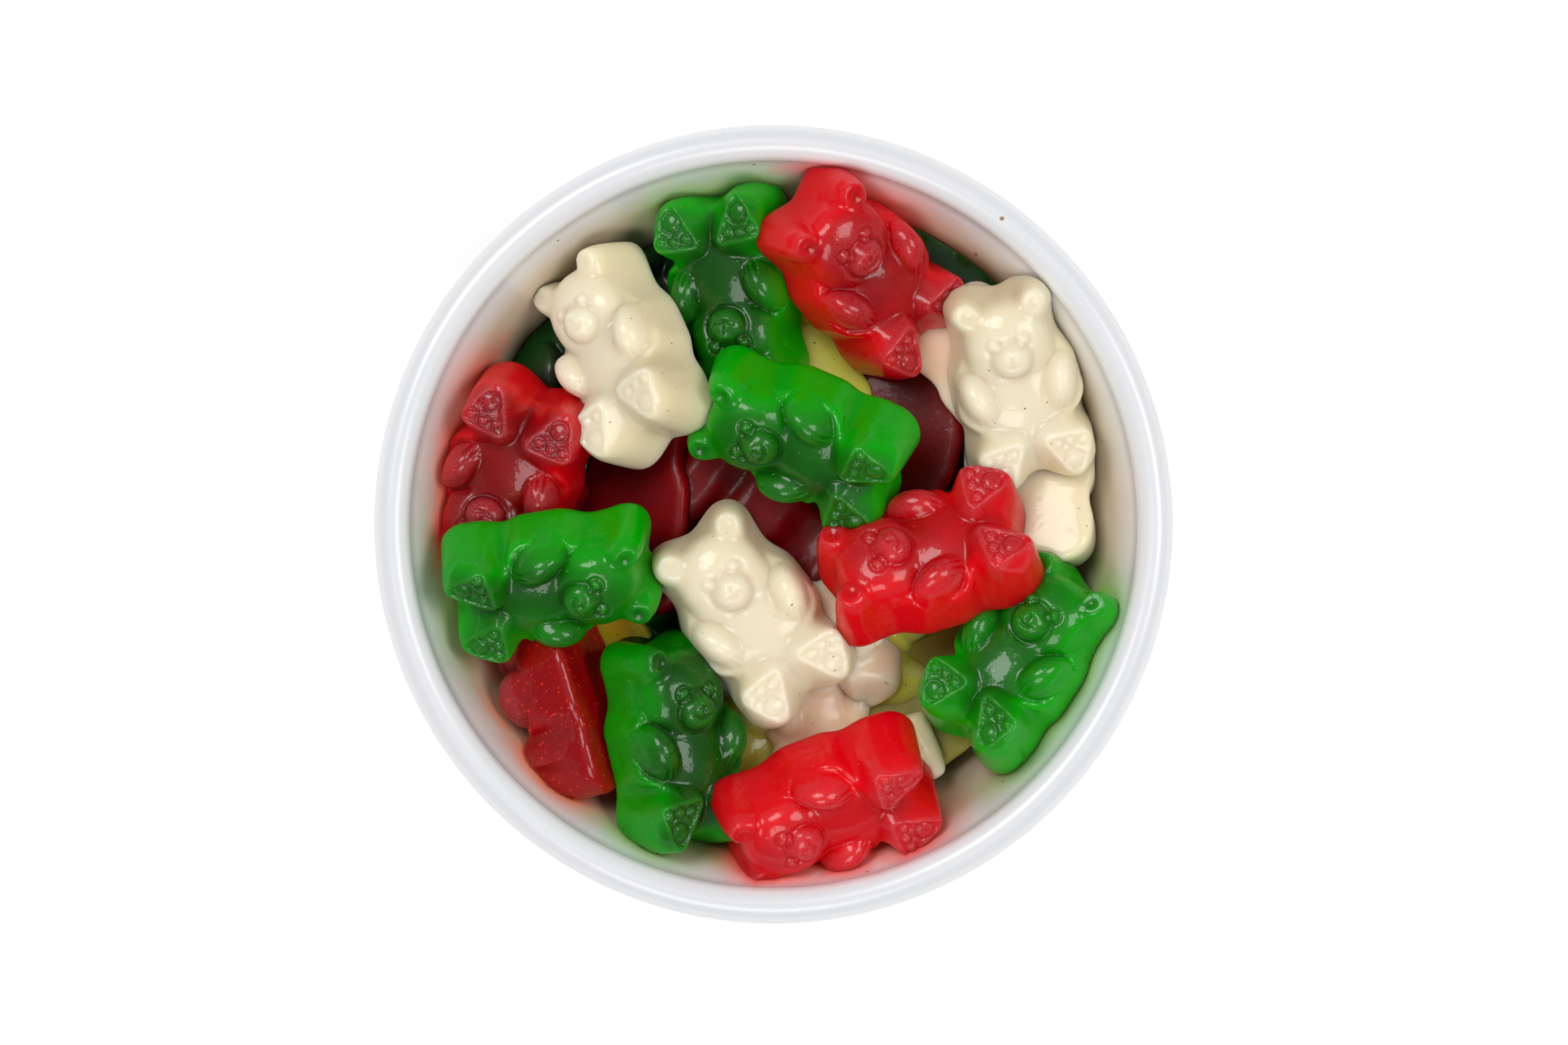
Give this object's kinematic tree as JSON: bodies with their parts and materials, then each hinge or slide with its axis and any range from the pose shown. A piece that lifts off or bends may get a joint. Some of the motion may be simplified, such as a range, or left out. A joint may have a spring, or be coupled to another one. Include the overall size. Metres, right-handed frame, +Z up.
{
  "type": "bowl of gummy bears",
  "caption": "Small round white glazed bowl heaped with fruit gummies in the shape of bears, red, green and cream white.",
  "frame": {"origin": "on the table, under the middle of the bowl", "axes": "+Z up out of the bowl; +X and +Y lie level, and the bowl itself is the same all round"},
  "size_m": [0.08, 0.08, 0.0464],
  "materials": {
    "glaze": "white glazed earthenware, glossy",
    "gummy": "translucent fruit gum with a soft satin skin, in red, green and cream white"
  },
  "bodies": {
    "root": {"bowl": "glaze", "gummy_bears": "gummy"}
  },
  "joints": []
}
